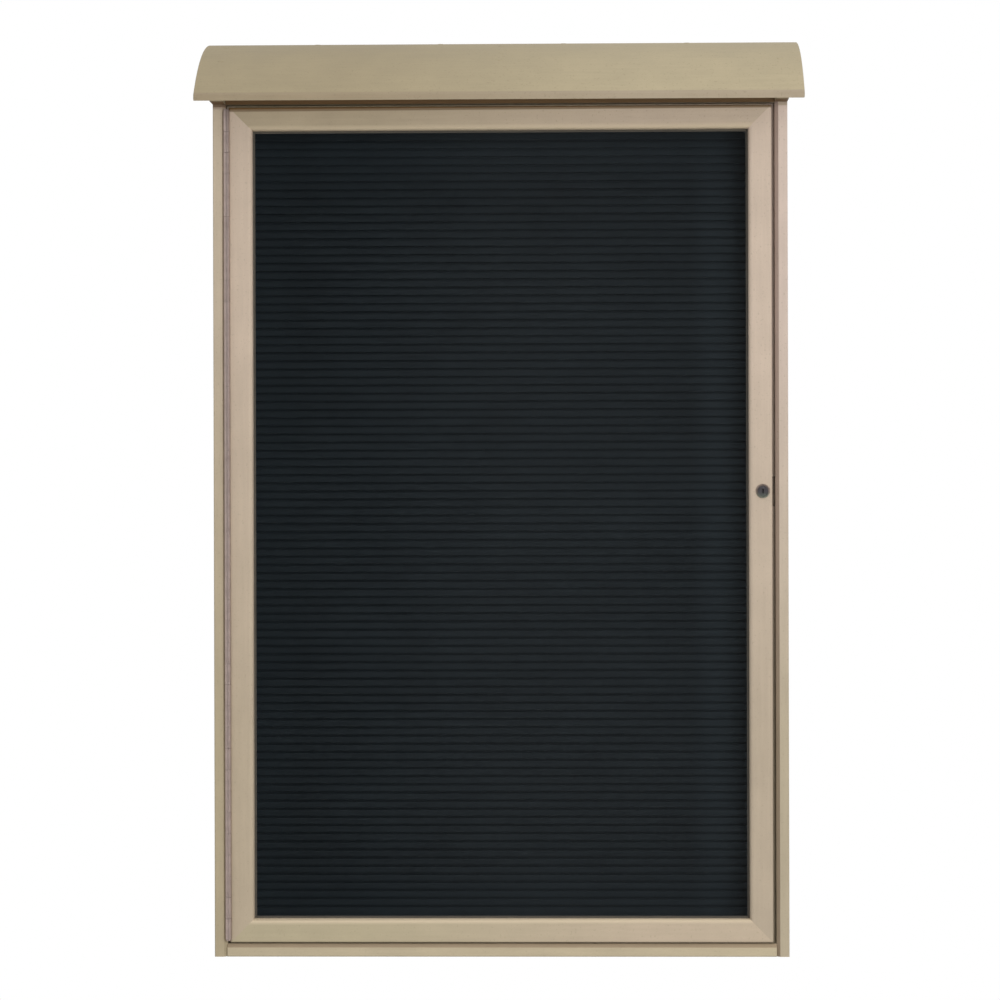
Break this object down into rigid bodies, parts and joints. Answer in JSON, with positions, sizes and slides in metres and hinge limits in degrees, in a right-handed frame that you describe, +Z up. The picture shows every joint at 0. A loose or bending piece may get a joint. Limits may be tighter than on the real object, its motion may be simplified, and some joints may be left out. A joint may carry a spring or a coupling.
{
  "type": "letter board",
  "caption": "Wall-hung outdoor letter board: a grooved black panel behind a hinged, locking, glazed door in a shallow case under a sloping rain hood.",
  "frame": {"origin": "middle of the case's back face, at the wall, which is the middle of the four wall bolts", "axes": "+Z up, +Y into the wall, so the door faces -Y; +X to the right as seen from the front"},
  "size_m": [0.856, 0.172, 1.31],
  "materials": {
    "sand_plastic": "sand-coloured moulded plastic lumber, faintly pebbled",
    "painted_screws": "screw heads painted to match the boards",
    "steel_screws": "plain stainless steel",
    "hinge_steel": "warm grey stainless steel, satin",
    "black_letter_panel": "matt black, level grooves",
    "clear_pane": "clear, polished",
    "grey_rubber": "dark grey, dull",
    "retainer_metal": "mill finish",
    "lock_metal": "plated, slightly dulled"
  },
  "bodies": {
    "case": {"left_side_board": "sand_plastic", "right_side_board": "sand_plastic", "top_board": "sand_plastic", "bottom_board": "sand_plastic", "back_panel": "sand_plastic", "case_screws": "painted_screws", "back_panel_screws": "steel_screws", "letter_board": "black_letter_panel", "letter_board_screws": "steel_screws", "stop_left": "sand_plastic", "stop_right": "sand_plastic", "stop_top": "sand_plastic", "stop_bottom": "sand_plastic", "stop_screws": "steel_screws", "door_seal": "grey_rubber", "hood_shell": "sand_plastic", "hood_left_end": "sand_plastic", "hood_right_end": "sand_plastic", "hood_back_board": "sand_plastic", "hood_centre_rib": "sand_plastic", "hood_left_cleat": "sand_plastic", "hood_right_cleat": "sand_plastic", "hood_shell_screws": "painted_screws", "hood_end_screws": "painted_screws", "hood_cleat_screws": "steel_screws", "hood_rib_screws": "steel_screws", "hinge_case_leaf": "hinge_steel", "hinge_pin": "hinge_steel", "hinge_case_screws": "steel_screws", "lock_strike": "lock_metal", "strike_screws": "steel_screws"},
    "door": {"door_hinge_stile": "sand_plastic", "door_lock_stile": "sand_plastic", "door_top_rail": "sand_plastic", "door_bottom_rail": "sand_plastic", "door_corner_screws": "steel_screws", "glazing_panel": "clear_pane", "glazing_gasket": "grey_rubber", "retainer_left": "retainer_metal", "retainer_right": "retainer_metal", "retainer_top": "retainer_metal", "retainer_bottom": "retainer_metal", "retainer_screws": "steel_screws", "hinge_door_leaf": "hinge_steel", "hinge_door_screws": "steel_screws", "lock_barrel": "lock_metal", "lock_nut": "lock_metal"},
    "lock": {"lock_plug": "lock_metal", "lock_cam": "lock_metal", "lock_cam_screw": "lock_metal"}
  },
  "joints": [
    {"name": "door_swing", "type": "hinge", "parent": "case", "child": "door", "pos_m": [-0.38625, -0.1315, 0], "axis": [0, 0, -1], "range_deg": [0, 170]},
    {"name": "lock_turn", "type": "hinge", "parent": "door", "child": "lock", "pos_m": [0.3705, -0.1, 0.045], "axis": [0, -1, 0], "range_deg": [0, 90]}
  ]
}
